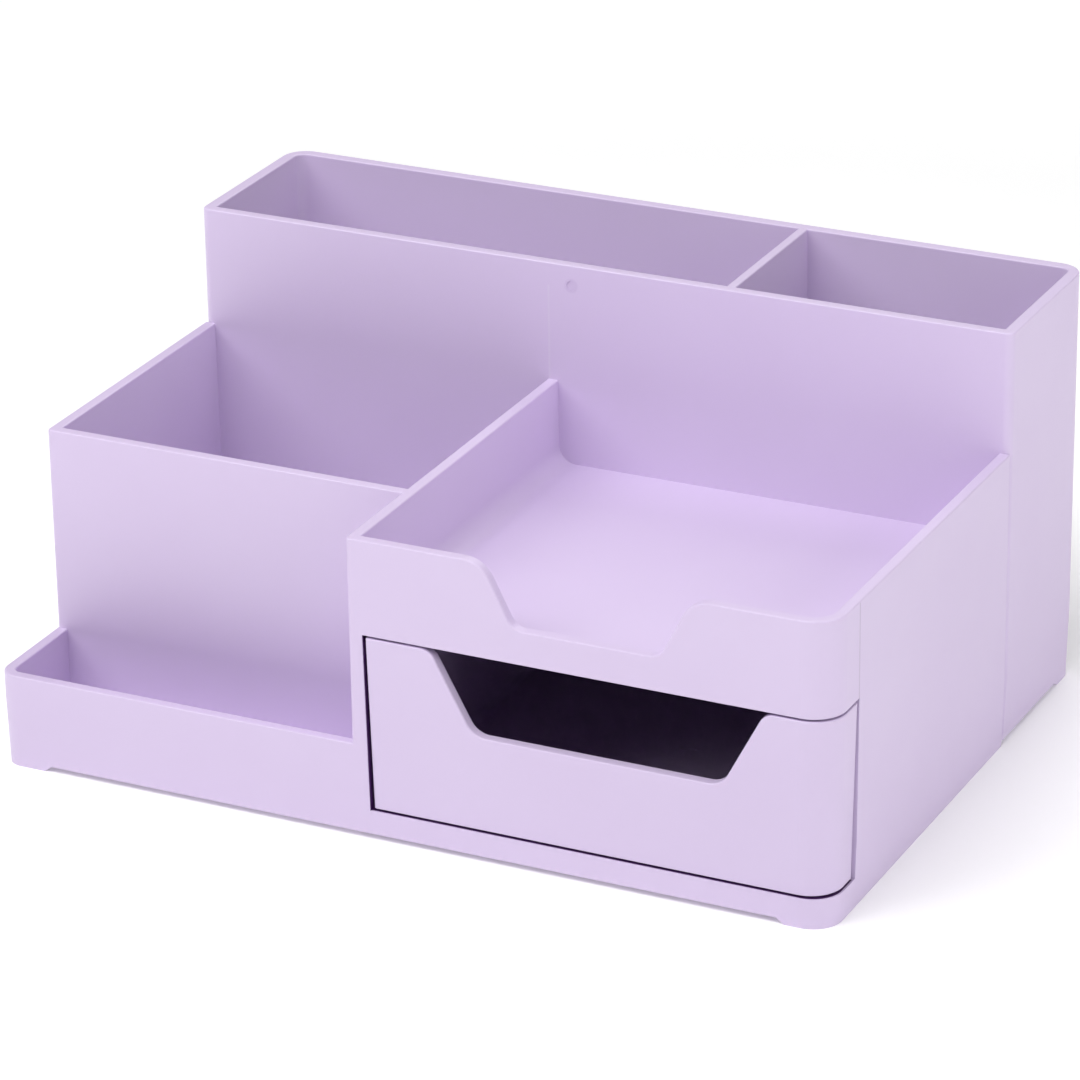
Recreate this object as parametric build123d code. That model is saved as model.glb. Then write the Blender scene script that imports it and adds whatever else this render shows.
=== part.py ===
from build123d import *
import math
import os

os.makedirs("parts", exist_ok=True)

# Desk organizer with one drawer, moulded in three pieces. Millimetres, +Z up, front facing -Y.
# The origin is under the middle of the object, on the surface that it stands on.

# ---------------------------------------------------------------- overall sizes
overall_width = 260.0
overall_depth = 188.0
overall_height = 128.0
wall = 3.3                      # housing walls and floors
rim_round = 0.5                 # rounding of the front housing's rims

# ---------------------------------------------------------------- front housing
front_depth = 128.5             # front face to the joint with the rear housing
front_height = 91.5             # rim of the pen cup and of the top tray
clip_tray_depth = 34.5          # front face to the front face of the pen cup
clip_tray_height = 29.0
bay_wall_place = 115.0          # left side to the left face of the wall beside the drawer
tray_floor_height = 65.5        # upper face of the top tray's floor
tray_floor_thickness = 2.5      # thinner than the walls, over the drawer bay
bay_floor_height = 9.0          # upper face of the floor that the drawer runs on
front_left_radius = 6.0         # plan radii of the outer corners
front_right_radius = 9.5
cup_corner_radius = 1.2
tray_floor_fillet = 5.5         # where the tray's walls run into its floor
cup_floor_fillet = 2.5

tray_notch_top = 62.5           # width of the tray's notch at the rim
tray_notch_bottom = 44.0
tray_notch_height = 73.0        # height of its lower edge above the table
tray_notch_upper_radius = 9.0
tray_notch_lower_radius = 5.0

# ---------------------------------------------------------------- rear housing
rear_wall = 3.6                 # left, right and back walls, thicker than the rest
rear_rim_round = 0.5
rear_corner_radius = 7.5
rear_inner_radius = 3.0
joint_corner_radius = 2.5       # vertical corners beside the joint: they make the V-groove
divider_place = 171.0           # left side to the left face of the divider
divider_thickness = 2.8
deep_floor_fillet = 3.0

# ---------------------------------------------------------------- base and feet
foot_height = 1.8               # front housing: underside above the table
rear_foot_height = 1.5
foot_width = 4.0                # how far a foot reaches in from the outer face
foot_return = 14.0              # how far a foot runs round its corner
foot_slope = 2.5                # length of a foot's sloping end
rear_foot_length = 16.0
base_taper_height = 21.0        # the outer faces draw in below this height
base_taper = 1.5                # degrees
underside_rib = 1.5             # ribs under the drawer bay
underside_rib_count = 4

# ---------------------------------------------------------------- moulding
cavity_draft = 0.5              # degrees, inner faces of the compartments
drawer_draft = 1.0              # degrees, drawer and the opening round it
pin_mark_depth = 0.2
rear_pin_mark_diameter = 3.0
rear_pin_mark_place = (122.9, 121.7)    # from the left side, height
drawer_pin_mark_diameter = 7.0
drawer_pin_mark_place = (70.0, 62.0)    # from the drawer's left side, from the front face

# ---------------------------------------------------------------- drawer and its bay
drawer_wall = 3.4
drawer_floor_fillet = 2.5
drawer_corner_radius = 1.0
drawer_rim_round = 0.5
drawer_gap = 0.8                # shown gap round the drawer's front
jamb_width = 4.3                # shown strip left of the drawer, at the top
wrap_depth = 17.5               # the drawer's front runs this far back round the corner
drawer_rear_radius = 3.0
side_space = 2.3                # bay wall to drawer, filled by the guide ribs
guide_clearance = 0.35
guide_height = 2.0
guide_levels = (20.0, 52.0)     # heights of the guide ribs' middles
rear_clearance = 0.3            # drawer's back to the rear housing when shut
runner_clearance = 0.15
runner_width = 2.4
runner_inset = 10.0             # drawer's sides to the runners' middles
runner_setback = 3.0            # ends of the drawer's floor to the runners' ends
drawer_travel = 95.0
stop_depth = 2.2                # how far the stop ribs hang under the tray's floor
stop_thickness = 2.5
stop_width = 14.0
stop_clearance = 0.3

drawer_notch_inset = 19.95      # drawer's sides to the notch's shoulders, at the rim
drawer_notch_lean = 12.75       # how far each of the notch's sides leans in
drawer_notch_height = 38.2      # height of its lower edge above the table
drawer_notch_upper_radius = 5.0
drawer_notch_lower_radius = 6.5

# ---------------------------------------------------------------- joint between the housings
dovetail_neck = 1.2
dovetail_tip = 2.0
dovetail_length = 1.5
dovetail_top = 88.0             # height of the tongue's upper end
pad_width = 9.0                 # thicker strip inside the rear housing, behind the dovetail
pad_thickness = 2.0
pad_top = 118.0
side_tongue_width = 1.0
side_tongue_length = 1.0
side_tongue_inset = 1.3         # outer face to the tongue
side_tongue_top = 80.0
tongue_bottom = 6.0
joint_clearance = 0.15

# ---------------------------------------------------------------- places worked out from the sizes
left = -overall_width / 2
right = overall_width / 2
front = -overall_depth / 2
back = overall_depth / 2
joint = front + front_depth
cup_front = front + clip_tray_depth
bay_wall_left = left + bay_wall_place
bay_wall_right = bay_wall_left + wall
bay_top = tray_floor_height - tray_floor_thickness
floor_top = foot_height + wall
rear_floor_top = rear_foot_height + wall
jamb_right = bay_wall_left + jamb_width
drawer_left = jamb_right + drawer_gap
drawer_right = right - wall - side_space
drawer_back = joint - rear_clearance
drawer_top = bay_top - drawer_gap
drawer_bottom = bay_floor_height + drawer_gap
tray_middle = (bay_wall_left + right) / 2
drawer_middle = (drawer_left + right) / 2
drawer_notch_top = right - drawer_left - 2 * drawer_notch_inset
drawer_notch_bottom = drawer_notch_top - 2 * drawer_notch_lean
over = 5.0                      # how far a cutting solid runs past the face that it opens


def draw_in(drop, degrees):
    """How far a drafted face moves in over a drop in height."""
    return drop * math.tan(math.radians(degrees))


def plan(*corners):
    """Face in plan from (x, y, corner radius) points, each corner rounded by its own radius."""
    face = make_face(Polyline([(x, y) for x, y, _ in corners], close=True))
    for x, y, radius in corners:
        if radius > 0:
            vertex = face.vertices().sort_by_distance(Vector(x, y))[0]
            face = fillet(vertex, radius)
    return face


def drafted(face, top, bottom, degrees):
    """Solid that hangs from a plan face at the height top and draws in towards the bottom."""
    solid = extrude(Pos(0, 0, bottom) * face, top - bottom)
    sides = solid.faces().filter_by(lambda side: abs(side.normal_at().Z) < 0.5)
    return draft(sides, Plane.XY.offset(top), -degrees)


def straight(face, bottom, top):
    return extrude(Pos(0, 0, bottom) * face, top - bottom)


def block(x_range, y_range, z_range):
    """Box between two limits along each axis."""
    (x0, x1), (y0, y1), (z0, z1) = x_range, y_range, z_range
    return Pos((x0 + x1) / 2, (y0 + y1) / 2, (z0 + z1) / 2) * Box(x1 - x0, y1 - y0, z1 - z0)


def across(points, y0, y1):
    """Prism along Y from (x, z) points."""
    face = make_face(Polyline([(x, 0, z) for x, z in points], close=True))
    return Pos(0, y0, 0) * extrude(face, y1 - y0, dir=(0, 1, 0))


def along(points, x0, x1):
    """Prism along X from (y, z) points."""
    face = make_face(Polyline([(0, y, z) for y, z in points], close=True))
    return Pos(x0, 0, 0) * extrude(face, x1 - x0, dir=(1, 0, 0))


def drafted_prism(corners, top, bottom, degrees):
    """Like drafted, from (x, y, radius) points, with each upright corner at one radius all the way."""
    solid = drafted(plan(*[(x, y, 0) for x, y, _ in corners]), top, bottom, degrees)
    for x, y, radius in corners:
        if radius > 0:
            uprights = solid.edges().filter_by(lambda edge: edge.bounding_box().size.Z > wall)
            solid = fillet(uprights.sort_by_distance(Vector(x, y, top))[0], radius)
    return solid


def pocket(corners, top, bottom, degrees, floor_fillet, open_back=False):
    """Cutting solid for a compartment: drafted sides, a filleted floor, carried up past its rim."""
    solid = drafted_prism(corners, top, bottom, degrees)
    floor_edges = solid.faces().sort_by(Axis.Z)[0].edges()
    if open_back:
        floor_edges = floor_edges - floor_edges.filter_by(Axis.X).sort_by(Axis.Y)[-1:]
    solid = fillet(floor_edges, floor_fillet)
    mouth = solid.faces().sort_by(Axis.Z)[-1]
    return solid + extrude(mouth, over, dir=(0, 0, 1))


def notch(middle, top_width, bottom_width, bottom, top, upper_radius, lower_radius, y0, y1):
    """Cutting solid for a trapezoid finger notch, rounded at its shoulders and at its lower corners."""
    wide = top_width / 2 + 2 * upper_radius
    shoulders = [(middle - top_width / 2, top), (middle + top_width / 2, top)]
    lower = [(middle - bottom_width / 2, bottom), (middle + bottom_width / 2, bottom)]
    outline = [
        (middle - wide, top + over), (middle - wide, top), shoulders[0], lower[0],
        lower[1], shoulders[1], (middle + wide, top), (middle + wide, top + over),
    ]
    face = make_face(Polyline([(x, 0, z) for x, z in outline], close=True))
    for corners, radius in ((shoulders, upper_radius), (lower, lower_radius)):
        for x, z in corners:
            vertex = face.vertices().sort_by_distance(Vector(x, 0, z))[0]
            face = fillet(vertex, radius)
    return Pos(0, y0, 0) * extrude(face, y1 - y0, dir=(0, 1, 0))


def dovetail(x, bottom, top, growth=0.0):
    """Dovetail tongue on the joint's plane, centred on x. growth makes the groove that it fits in."""
    neck = dovetail_neck / 2 + growth
    tip = dovetail_tip / 2 + growth
    root_y = joint - wall / 2
    tip_y = joint + dovetail_length + growth
    face = plan((x - neck, root_y, 0), (x + neck, root_y, 0), (x + neck, joint, 0),
                (x + tip, tip_y, 0), (x - tip, tip_y, 0), (x - neck, joint, 0))
    return straight(face, bottom, top)


def side_tongue(x, bottom, top, growth=0.0):
    """Plain tongue on the joint's plane, centred on x. growth makes the groove that it fits in."""
    half = side_tongue_width / 2 + growth
    return block((x - half, x + half), (joint - wall / 2, joint + side_tongue_length + growth),
                 (bottom, top))


def feet(outline, height, clips):
    """Moulded feet: a strip under the rim of a tapered outline, kept only inside the clips."""
    inner = offset(outline, amount=-foot_width)
    strip = drafted(outline, base_taper_height, 0, base_taper) - straight(inner, -over, overall_height)
    strip = strip & block((left, right), (front, back), (0, height))
    return [strip & clip for clip in clips]


def rounded_rim(solid, radius, is_rim):
    """Round the edges that is_rim picks by their bounding boxes."""
    edges = [edge for edge in solid.edges() if is_rim(edge.bounding_box())]
    return fillet(edges, radius)


def near(a, b):
    return abs(a - b) < 0.02


# ---------------------------------------------------------------- front housing
def tapered_base(outline, top):
    """Solid on a plan outline, up to a height, whose lowest part draws in all round."""
    base = drafted(outline, base_taper_height, foot_height, base_taper)
    return base + straight(outline, base_taper_height, top)


def clip_tray():
    """Low tray at the front left. It runs half a wall into the tower, which closes it."""
    hidden = wall / 2
    inner_left = left + wall
    body = tapered_base(
        plan((left, front, front_left_radius), (bay_wall_left + hidden, front, 0),
             (bay_wall_left + hidden, cup_front + hidden, 0), (left, cup_front + hidden, 0)),
        clip_tray_height)
    body -= pocket(
        [(inner_left, front + wall, front_left_radius - wall), (bay_wall_left, front + wall, 0),
         (bay_wall_left, cup_front, 0), (inner_left, cup_front, 0)],
        clip_tray_height, floor_top, cavity_draft, cup_floor_fillet)

    def is_rim(box):
        in_tower = near(box.min.X, bay_wall_left + hidden) or near(box.min.Y, cup_front + hidden)
        return near(box.min.Z, clip_tray_height) and not in_tower

    return rounded_rim(body, rim_round, is_rim)


def tower():
    """Pen cup and drawer tower in one, open at the joint."""
    body = tapered_base(
        plan((left, cup_front, cup_corner_radius), (bay_wall_left, cup_front, 0),
             (bay_wall_left, front, cup_corner_radius), (right, front, front_right_radius),
             (right, joint + over, 0), (left, joint + over, 0)),
        front_height)
    body -= pocket(
        [(left + wall, cup_front + wall, 0), (bay_wall_left, cup_front + wall, 0),
         (bay_wall_left, joint + over, 0), (left + wall, joint + over, 0)],
        front_height, floor_top, cavity_draft, cup_floor_fillet, open_back=True)
    body -= pocket(
        [(bay_wall_right, front + wall, 0), (right - wall, front + wall, front_right_radius - wall),
         (right - wall, joint + over, 0), (bay_wall_right, joint + over, 0)],
        front_height, tray_floor_height, cavity_draft, tray_floor_fillet, open_back=True)
    body -= drawer_bay()
    body -= underside_pocket()
    body -= notch(tray_middle, tray_notch_top, tray_notch_bottom, tray_notch_height, front_height,
                  tray_notch_upper_radius, tray_notch_lower_radius, front - over, front + 2 * wall)
    body &= block((left, right), (front, joint), (0, front_height))

    def is_rim(box):
        across_wall = box.size.X < 0.01 and box.size.Y < 2 * wall
        on_top = near(box.min.Z, front_height) and not near(box.min.Y, joint)
        in_notch = box.min.Z > tray_notch_height - 0.1 and box.max.Y < front + 2 * wall
        return (on_top or in_notch) and not across_wall

    return rounded_rim(body, rim_round, is_rim)


def drawer_bay():
    """Space under the top tray, open at the front and round the right front corner."""
    lean = draw_in(bay_top - bay_floor_height, drawer_draft)
    seam = front + wrap_depth + drawer_gap
    inside = block((bay_wall_right, right - wall), (front + wall, joint + over),
                   (bay_floor_height, bay_top))
    face = across([(jamb_right, bay_top), (jamb_right + lean, bay_floor_height),
                   (right + over, bay_floor_height), (right + over, bay_top)],
                  front - over, front + 2 * wall)
    corner = along([(front - over, bay_top), (seam, bay_top), (seam - lean, bay_floor_height),
                    (front - over, bay_floor_height)],
                   right - front_right_radius - wall, right + over)
    return inside + face + corner


def guide_ribs():
    """Ribs on both walls of the bay, each reaching to the drafted side of the drawer."""
    ribs = []
    for level in guide_levels:
        top = level + guide_height / 2
        lean = draw_in(drawer_top - top, drawer_draft) - guide_clearance
        z_range = (level - guide_height / 2, top)
        ribs.append(block((bay_wall_right, drawer_left + lean), (front + wall, joint), z_range))
        ribs.append(block((drawer_right - lean, right - wall),
                          (front + wrap_depth + 2 * drawer_gap, joint), z_range))
    return ribs


def stop_ribs():
    """Two ribs under the tray's floor that catch the drawer's back wall when it is pulled out."""
    rear_face = drawer_back - drawer_wall - drawer_travel - stop_clearance
    span = drawer_right - drawer_left
    ribs = []
    for share in (0.25, 0.75):
        x = drawer_left + share * span
        ribs.append(block((x - stop_width / 2, x + stop_width / 2),
                          (rear_face - stop_thickness, rear_face), (bay_top - stop_depth, bay_top)))
    return ribs


def underside_pocket():
    """Hollow under the drawer bay, crossed by stiffening ribs at an even pitch."""
    skirt = wall + draw_in(base_taper_height, base_taper)
    y0, y1 = front + skirt, joint - wall
    hollow = block((bay_wall_right, right - skirt), (y0, y1), (-over, bay_floor_height - wall))
    pitch = (y1 - y0) / (underside_rib_count + 1)
    for index in range(underside_rib_count):
        y = y0 + (index + 1) * pitch
        hollow -= block((left, right), (y - underside_rib / 2, y + underside_rib / 2),
                        (foot_height, bay_floor_height))
    return hollow


def front_housing():
    body = clip_tray() + tower()
    outline = plan((left, front, front_left_radius), (right, front, front_right_radius),
                   (right, joint + over, 0), (left, joint + over, 0))
    clips = []
    for side, inward in ((left, 1), (right, -1)):
        profile = [(side - inward, 0), (side + inward * foot_return, 0),
                   (side + inward * (foot_return + foot_slope), foot_height),
                   (side - inward, foot_height)]
        clips.append(across(profile, front, joint))
    for foot in feet(outline, foot_height, clips):
        body += foot
    for rib in guide_ribs() + stop_ribs():
        body += rib
    body += dovetail(bay_wall_left + wall / 2, tongue_bottom, dovetail_top)
    side = side_tongue_inset + side_tongue_width / 2
    for x in (left + side, right - side):
        body += side_tongue(x, tongue_bottom, side_tongue_top)
    return body


# ---------------------------------------------------------------- rear housing
def rear_shell():
    true_plan = plan((left, joint, joint_corner_radius), (right, joint, joint_corner_radius),
                     (right, back, rear_corner_radius), (left, back, rear_corner_radius))
    long_plan = plan((left, joint - over, 0), (right, joint - over, 0),
                     (right, back, rear_corner_radius), (left, back, rear_corner_radius))
    clips = []
    reach = rear_foot_length - foot_slope
    lengthwise = along([(back - rear_foot_length, rear_foot_height), (back - reach, 0),
                        (back + 1, 0), (back + 1, rear_foot_height)], left, right)
    for side, inward in ((left, 1), (right, -1)):
        profile = [(side - inward, 0), (side + inward * reach, 0),
                   (side + inward * rear_foot_length, rear_foot_height), (side - inward, rear_foot_height)]
        clips.append(across(profile, front, back) & lengthwise)
    base = drafted(long_plan, base_taper_height, rear_foot_height, base_taper)
    base &= straight(true_plan, rear_foot_height, base_taper_height)
    shell = base + straight(true_plan, base_taper_height, overall_height)
    for foot in feet(long_plan, rear_foot_height, clips):
        shell += foot
    return shell


def deep_pocket(x0, x1, radius_left, radius_right):
    """One tall compartment between two x limits, with its own radii at the rear corners."""
    return pocket(
        [(x0, joint + wall, 0), (x1, joint + wall, 0),
         (x1, back - rear_wall, radius_right), (x0, back - rear_wall, radius_left)],
        overall_height, rear_floor_top, cavity_draft, deep_floor_fillet)


def rear_housing():
    divider_left = left + divider_place
    pad_middle = bay_wall_left + wall / 2
    hollow = deep_pocket(left + rear_wall, divider_left, rear_inner_radius, 0)
    hollow += deep_pocket(divider_left + divider_thickness, right - rear_wall, 0, rear_inner_radius)
    hollow -= block((pad_middle - pad_width / 2, pad_middle + pad_width / 2),
                    (joint, joint + wall + pad_thickness), (0, pad_top))
    body = rear_shell() - hollow

    def is_rim(box):
        return near(box.min.Z, overall_height)

    body = rounded_rim(body, rear_rim_round, is_rim)
    body -= dovetail(pad_middle, -over, dovetail_top + joint_clearance, joint_clearance)
    side = side_tongue_inset + side_tongue_width / 2
    for x in (left + side, right - side):
        body -= side_tongue(x, -over, side_tongue_top + joint_clearance, joint_clearance)
    x, z = rear_pin_mark_place
    mark = Cylinder(rear_pin_mark_diameter / 2, 2 * pin_mark_depth, rotation=(90, 0, 0))
    body -= Pos(left + x, joint, z) * mark
    return body


# ---------------------------------------------------------------- drawer
def drawer_corners(inset, small_radius, rear_radius):
    """Corners of the drawer's plan at its rim, moved inwards by inset. Its front runs round the corner."""
    x0, x1, y0, y1 = drawer_left + inset, drawer_right - inset, front + inset, drawer_back - inset
    corner = right - inset
    wrap = front + wrap_depth - inset
    return [(x0, y0, small_radius), (corner, y0, front_right_radius - inset),
            (corner, wrap, small_radius), (x1, wrap, 0), (x1, y1, rear_radius), (x0, y1, rear_radius)]


def drawer():
    floor = drawer_bottom + drawer_wall
    outside = drawer_corners(0, drawer_corner_radius, drawer_rear_radius)
    body = drafted_prism(outside, drawer_top, drawer_bottom, drawer_draft)
    body -= pocket(drawer_corners(drawer_wall, 0, 0), drawer_top, floor, drawer_draft, drawer_floor_fillet)
    body -= notch(drawer_middle, drawer_notch_top, drawer_notch_bottom, drawer_notch_height, drawer_top,
                  drawer_notch_upper_radius, drawer_notch_lower_radius, front - over, front + 2 * wall)

    def is_rim(box):
        on_top = near(box.min.Z, drawer_top)
        in_notch = (box.min.Z > drawer_notch_height - 0.1 and box.max.Y < front + 2 * wall
                    and box.size.X > 0.1)
        return on_top or in_notch

    body = rounded_rim(body, drawer_rim_round, is_rim)
    lean = draw_in(drawer_top - drawer_bottom, drawer_draft)
    runner_front = front + lean + runner_setback
    runner_back = drawer_back - lean - runner_setback
    middle = (runner_front + runner_back) / 2
    runner = Rot(0, 0, 90) * SlotOverall(runner_back - runner_front, runner_width)
    for x in (drawer_left + runner_inset, drawer_right - runner_inset):
        body += straight(Pos(x, middle) * runner, bay_floor_height + runner_clearance, drawer_bottom)
    x, y = drawer_pin_mark_place
    mark = Cylinder(drawer_pin_mark_diameter / 2, 2 * pin_mark_depth)
    body -= Pos(drawer_left + x, front + y, floor) * mark
    return body


nodes = {
    "front_housing": front_housing(),
    "rear_housing": rear_housing(),
    "drawer": drawer(),
}
for name, solid in nodes.items():
    export_step(solid, f"parts/{name}.step")
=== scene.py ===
import bpy
import math
from mathutils import Matrix, Vector

# Looks for the desk organizer: lavender moulded plastic on a pale floor, soft studio light.
# Metres, in the frame of the CAD part: front facing -Y, +Z up, standing on z = 0.
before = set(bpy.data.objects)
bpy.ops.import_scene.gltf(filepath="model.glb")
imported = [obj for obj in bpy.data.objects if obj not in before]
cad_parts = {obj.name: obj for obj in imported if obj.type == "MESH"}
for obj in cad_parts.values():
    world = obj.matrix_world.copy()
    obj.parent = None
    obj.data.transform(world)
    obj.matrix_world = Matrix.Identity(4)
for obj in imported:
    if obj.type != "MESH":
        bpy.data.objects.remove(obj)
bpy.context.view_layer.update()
MM = 0.001

# ---------------------------------------------------------------- camera
CAMERA_PLACE = (0.61010, -1.25161, 0.66173)
CAMERA_TARGET = (-0.00057, -0.00188, 0.05669)
CAMERA_ROLL = -0.844            # degrees about the view axis
CAMERA_LENS = 174.46            # millimetres
SENSOR_WIDTH = 36.0             # millimetres


def make_camera():
    data = bpy.data.cameras.new("camera")
    data.sensor_width = SENSOR_WIDTH
    data.lens = CAMERA_LENS
    data.clip_start = 0.05
    data.clip_end = 200.0
    camera = bpy.data.objects.new("camera", data)
    bpy.context.scene.collection.objects.link(camera)
    place = Vector(CAMERA_PLACE)
    ahead = (Vector(CAMERA_TARGET) - place).to_track_quat("-Z", "Y").to_matrix().to_4x4()
    roll = Matrix.Rotation(math.radians(CAMERA_ROLL), 4, "Z")
    camera.matrix_world = Matrix.Translation(place) @ ahead @ roll
    bpy.context.scene.camera = camera


# ---------------------------------------------------------------- studio
FLOOR_REACH = 60.0              # metres from the object to the floor's edges, out of sight
FLOOR_COLOUR = (0.95, 0.95, 0.95)
FLOOR_ROUGHNESS = 0.9
FLOOR_GLOW = (0.15, 0.95)       # near the object and far from it, so that all of it looks white
FLOOR_GLOW_REACH = (0.5, 2.0)   # metres from the object where the one ends and the other begins
BACKDROP_COLOUR = (1.0, 1.0, 1.0)
WORLD_STRENGTH = 0.05
LIGHTS_AIM = (0, 0, 0.06)       # every light faces the middle of the object
# name, place, side of the square panel, power in watts
LIGHTS = (
    ("high_front", (0.0, -0.72, 1.60), 1.1, 15.8),
    ("front_left", (-0.88, -0.88, 1.22), 1.1, 11.9),
    ("right", (1.62, -0.29, 0.58), 1.0, 9.5),
    ("left", (-1.47, 0.0, 0.91), 1.1, 2.0),
    ("back", (0.0, 1.09, 1.36), 1.1, 9.0),
)


def make_light(name, place, side, power):
    data = bpy.data.lights.new(name, "AREA")
    data.shape = "SQUARE"
    data.size = side
    data.energy = power
    lamp = bpy.data.objects.new(name, data)
    bpy.context.scene.collection.objects.link(lamp)
    lamp.location = place
    ahead = Vector(LIGHTS_AIM) - Vector(place)
    lamp.rotation_euler = ahead.to_track_quat("-Z", "Y").to_euler()


def make_world():
    world = bpy.data.worlds.new("studio")
    world.use_nodes = True
    bpy.context.scene.world = world
    background = world.node_tree.nodes["Background"]
    background.inputs["Color"].default_value = (*BACKDROP_COLOUR, 1)
    background.inputs["Strength"].default_value = WORLD_STRENGTH


def make_floor():
    side = FLOOR_REACH
    mesh = bpy.data.meshes.new("floor")
    corners = [(-side, -side, 0), (side, -side, 0), (side, side, 0), (-side, side, 0)]
    mesh.from_pydata(corners, [], [(0, 1, 2, 3)])
    floor = bpy.data.objects.new("floor", mesh)
    bpy.context.scene.collection.objects.link(floor)
    paint = bpy.data.materials.new("floor_paint")
    nodes = Nodes(paint)
    nodes.shader.inputs["Base Color"].default_value = (*FLOOR_COLOUR, 1)
    nodes.shader.inputs["Roughness"].default_value = FLOOR_ROUGHNESS
    nodes.shader.inputs["Emission Color"].default_value = (*FLOOR_COLOUR, 1)
    reach = nodes.add("ShaderNodeVectorMath", operation="LENGTH")
    nodes.link(nodes.add("ShaderNodeTexCoord").outputs["Object"], reach.inputs[0])
    glow = nodes.mapped(reach.outputs["Value"], *FLOOR_GLOW, *FLOOR_GLOW_REACH)
    nodes.link(glow, nodes.shader.inputs["Emission Strength"])
    mesh.materials.append(paint)


# ---------------------------------------------------------------- moulded plastic
PLASTIC_LIGHT = (0.706, 0.595, 0.818)
PLASTIC_DARK = (0.696, 0.583, 0.808)
# painted shade: dark aubergine standing in for the deep shade on the drawer bay's inside faces and
# gap edges
BAY_PAINTED_SHADE = (0.075, 0.018, 0.125)
# Painted shade: the drawer bay's faces lie in these boxes, apart from the side seam, and are
# coloured dark there for the shade inside the bay. The last number says whether the box ends at the
# rounded front right corner.
BAY_SHADE_BOXES = (
    (Vector((-11.75, -93.1, 8.95)) * MM, Vector((126.75, 34.45, 63.05)) * MM, True),
    (Vector((-11.75, -93.6, 8.95)) * MM, Vector((-9.7, -93.0, 63.05)) * MM, False),
    (Vector((126.7, -93.1, 8.95)) * MM, Vector((129.1, -77.5, 63.05)) * MM, True),
)
BAY_SHADE_CORNER = Vector((120.5, -84.5, 0.0)) * MM       # middle of that corner's rounding
BAY_SHADE_CORNER_RADIUS = 8.6 * MM
PIGMENT_SIZE = 35 * MM          # slow unevenness of the colour
PATCH_SIZE = 22 * MM            # patches of slightly different gloss
ROUGHNESS_RANGE = (0.36, 0.44)
PLASTIC_IOR = 1.5
NOISE_RANGE = (0.3, 0.7)        # where nearly all of a noise's values lie
GRAIN_SIZE = 0.35 * MM          # the fine spark-eroded grain of the mould
GRAIN_DEPTH = 0.004 * MM
RIPPLE_SIZE = 28 * MM           # slow unevenness of large moulded walls
RIPPLE_DEPTH = 0.05 * MM
LINE_WIDTH = 0.5 * MM           # moulding witness lines, from the middle to where they end
PIN_MARK_COLOUR = (0.665, 0.550, 0.780)
PIN_MARK_MIDDLE = Vector((-7.1, 34.6, 121.7)) * MM
PIN_MARK_RADII = (1.9 * MM, 2.4 * MM)       # full tint within the first, none beyond the second


def witness_line(axis, middle, low, high, depth, colour):
    """Upright line on a wall: its axis, its place along that axis, the box that it keeps to."""
    return {"axis": axis, "middle": middle * MM, "low": Vector(low) * MM, "high": Vector(high) * MM,
            "depth": depth * MM, "colour": colour}


# A ridge on the tall box, painted paler as a highlight along it, and a groove where the tower's
# rounded corner ends, painted darker as shade in it.
# painted highlight: the tall box's ridge line is coloured paler where light catches it
TALL_BOX_RIDGE_AND_HIGHLIGHT = witness_line("X", -14.4, (-16, 34, 91.7), (-13, 35, 121),
                             0.03, (0.730, 0.640, 0.830))
# painted shade: the tower's groove line is coloured darker where shade falls in it
TOWER_GROOVE_AND_SHADE = witness_line("Y", -75.9, (129, -78, 63), (131, -74, 91),
                          -0.05, (0.520, 0.430, 0.610))


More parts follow.
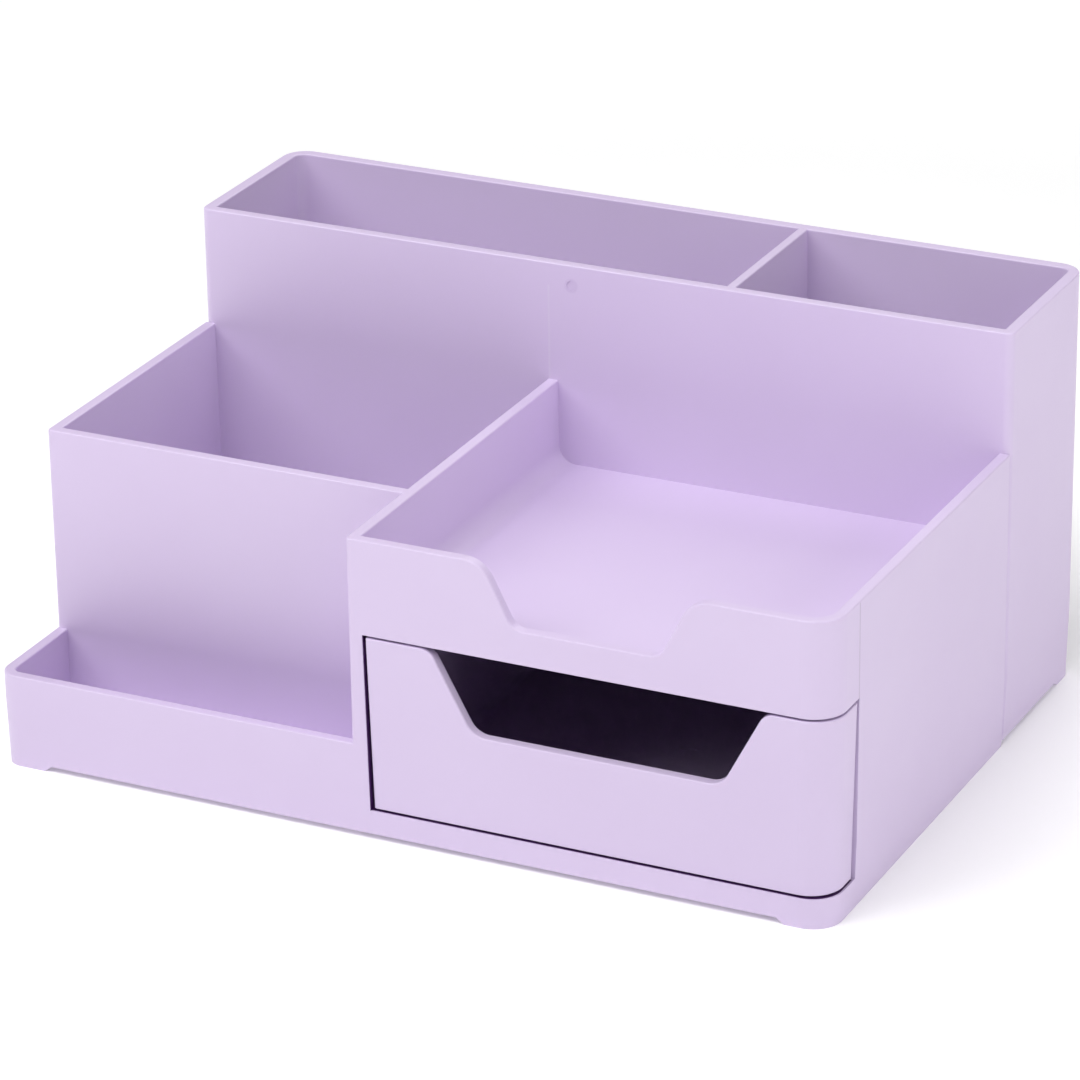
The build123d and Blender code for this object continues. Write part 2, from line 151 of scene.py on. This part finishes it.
class Nodes:
    """Small helper that adds shader nodes and links them."""

    def __init__(self, material):
        material.use_nodes = True
        self.tree = material.node_tree
        self.shader = self.tree.nodes["Principled BSDF"]

    def add(self, kind, **settings):
        node = self.tree.nodes.new(kind)
        for key, value in settings.items():
            setattr(node, key, value)
        return node

    def link(self, source, target):
        self.tree.links.new(source, target)

    def noise(self, place, size, detail=2.0, roughness=0.5):
        """Noise in object space whose blotches are about size metres across."""
        node = self.add("ShaderNodeTexNoise")
        node.inputs["Scale"].default_value = 1 / size
        node.inputs["Detail"].default_value = detail
        node.inputs["Roughness"].default_value = roughness
        self.link(place, node.inputs["Vector"])
        return node.outputs["Fac"]

    def mapped(self, value, low, high, from_low=NOISE_RANGE[0], from_high=NOISE_RANGE[1]):
        """The value, stretched from one range to another and kept within it."""
        node = self.add("ShaderNodeMapRange")
        node.inputs["From Min"].default_value = from_low
        node.inputs["From Max"].default_value = from_high
        node.inputs["To Min"].default_value = low
        node.inputs["To Max"].default_value = high
        self.link(value, node.inputs["Value"])
        return node.outputs["Result"]

    def maths(self, operation, first, second):
        node = self.add("ShaderNodeMath", operation=operation)
        for value, entry in zip((first, second), node.inputs):
            if isinstance(value, (int, float)):
                entry.default_value = value
            else:
                self.link(value, entry)
        return node.outputs["Value"]

    def inside(self, place, low, high):
        """1 inside a box in object space, 0 outside it."""
        shift = self.add("ShaderNodeVectorMath", operation="SUBTRACT")
        self.link(place, shift.inputs[0])
        shift.inputs[1].default_value = (low + high) / 2
        size = self.add("ShaderNodeVectorMath", operation="ABSOLUTE")
        self.link(shift.outputs["Vector"], size.inputs[0])
        past = self.add("ShaderNodeVectorMath", operation="SUBTRACT")
        self.link(size.outputs["Vector"], past.inputs[0])
        past.inputs[1].default_value = (high - low) / 2
        axes = self.add("ShaderNodeSeparateXYZ")
        self.link(past.outputs["Vector"], axes.inputs["Vector"])
        furthest = self.maths("MAXIMUM", axes.outputs["X"], axes.outputs["Y"])
        furthest = self.maths("MAXIMUM", furthest, axes.outputs["Z"])
        return self.maths("LESS_THAN", furthest, 0.0)

    def spot(self, place, middle, radii):
        """1 within the first radius of the middle, falling to 0 at the second."""
        reach = self.add("ShaderNodeVectorMath", operation="DISTANCE")
        self.link(place, reach.inputs[0])
        reach.inputs[1].default_value = middle
        return self.mapped(reach.outputs["Value"], 1, 0, *radii)

    def inside_corner(self, place, middle, radius):
        """0 beyond an upright rounded corner at the front right of its middle, 1 elsewhere."""
        offset = self.add("ShaderNodeVectorMath", operation="SUBTRACT")
        self.link(place, offset.inputs[0])
        offset.inputs[1].default_value = middle
        beyond = self.add("ShaderNodeVectorMath", operation="MULTIPLY")
        self.link(offset.outputs["Vector"], beyond.inputs[0])
        beyond.inputs[1].default_value = (1, -1, 0)
        corner = self.add("ShaderNodeVectorMath", operation="MAXIMUM")
        self.link(beyond.outputs["Vector"], corner.inputs[0])
        corner.inputs[1].default_value = (0, 0, 0)
        reach = self.add("ShaderNodeVectorMath", operation="LENGTH")
        self.link(corner.outputs["Vector"], reach.inputs[0])
        return self.maths("LESS_THAN", reach.outputs["Value"], radius)

    def across_line(self, place, line):
        """1 in the middle of a witness line, falling to 0 at its edges."""
        axes = self.add("ShaderNodeSeparateXYZ")
        self.link(place, axes.inputs["Vector"])
        distance = self.maths("SUBTRACT", axes.outputs[line["axis"]], line["middle"])
        distance = self.maths("ABSOLUTE", distance, 0.0)
        profile = self.mapped(distance, 1, 0, 0, LINE_WIDTH)
        return self.maths("MULTIPLY", profile, self.inside(place, line["low"], line["high"]))

    def colour_mix(self, factor, first, second):
        mix = self.add("ShaderNodeMix", data_type="RGBA")
        self.link(factor, mix.inputs["Factor"])
        for colour, entry in ((first, mix.inputs["A"]), (second, mix.inputs["B"])):
            if isinstance(colour, tuple):
                entry.default_value = (*colour, 1)
            else:
                self.link(colour, entry)
        return mix.outputs["Result"]

    def bump(self, height, depth, before=None):
        node = self.add("ShaderNodeBump")
        node.inputs["Strength"].default_value = 1.0
        node.inputs["Distance"].default_value = depth
        self.link(height, node.inputs["Height"])
        if before is not None:
            self.link(before, node.inputs["Normal"])
        return node.outputs["Normal"]


def plastic(name, line=None, painted_bay_shade=False, pin_mark=False):
    material = bpy.data.materials.new(name)
    nodes = Nodes(material)
    place = nodes.add("ShaderNodeTexCoord").outputs["Object"]
    # colour: pigment that is very slightly uneven
    pigment = nodes.mapped(nodes.noise(place, PIGMENT_SIZE), 0, 1)
    colour = nodes.colour_mix(pigment, PLASTIC_DARK, PLASTIC_LIGHT)
    if pin_mark:
        mark = nodes.spot(place, PIN_MARK_MIDDLE, PIN_MARK_RADII)
        colour = nodes.colour_mix(mark, colour, PIN_MARK_COLOUR)
    # painted highlight and shade: a line's colour is paler along a ridge and darker in a groove
    if line:
        across = nodes.across_line(place, line)
        colour = nodes.colour_mix(across, colour, line["colour"])
    # painted shade: the drawer bay's faces are coloured dark where shade falls inside the bay
    if painted_bay_shade:
        corner = nodes.inside_corner(place, BAY_SHADE_CORNER, BAY_SHADE_CORNER_RADIUS)
        for low, high, rounded in BAY_SHADE_BOXES:
            bay_shade_mask = nodes.inside(place, low, high)
            if rounded:
                bay_shade_mask = nodes.maths("MULTIPLY", bay_shade_mask, corner)
            colour = nodes.colour_mix(bay_shade_mask, colour, BAY_PAINTED_SHADE)
    nodes.link(colour, nodes.shader.inputs["Base Color"])
    # gloss: satin, with patches that are a little smoother
    patches = nodes.noise(place, PATCH_SIZE, detail=4.0, roughness=0.6)
    nodes.link(nodes.mapped(patches, *ROUGHNESS_RANGE), nodes.shader.inputs["Roughness"])
    # relief: slow ripple of the wall, then the mould's fine grain
    ripple = nodes.bump(nodes.noise(place, RIPPLE_SIZE, detail=0.0), RIPPLE_DEPTH)
    relief = nodes.bump(nodes.noise(place, GRAIN_SIZE, detail=1.0), GRAIN_DEPTH, ripple)
    if line:
        relief = nodes.bump(across, line["depth"], relief)
    nodes.link(relief, nodes.shader.inputs["Normal"])
    nodes.shader.inputs["IOR"].default_value = PLASTIC_IOR
    return material


# ---------------------------------------------------------------- scene
make_world()
make_floor()
for light in LIGHTS:
    make_light(*light)
make_camera()
bpy.context.scene.view_settings.view_transform = "Standard"

plastics = {
    "front_housing": plastic("front_plastic_with_painted_shade", line=TOWER_GROOVE_AND_SHADE, painted_bay_shade=True),
    "rear_housing": plastic("rear_plastic_with_painted_highlight", line=TALL_BOX_RIDGE_AND_HIGHLIGHT, pin_mark=True),
    "drawer": plastic("drawer_plastic"),
}
for name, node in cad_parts.items():
    for material_slot in node.material_slots:
        material_slot.material = plastics[name]
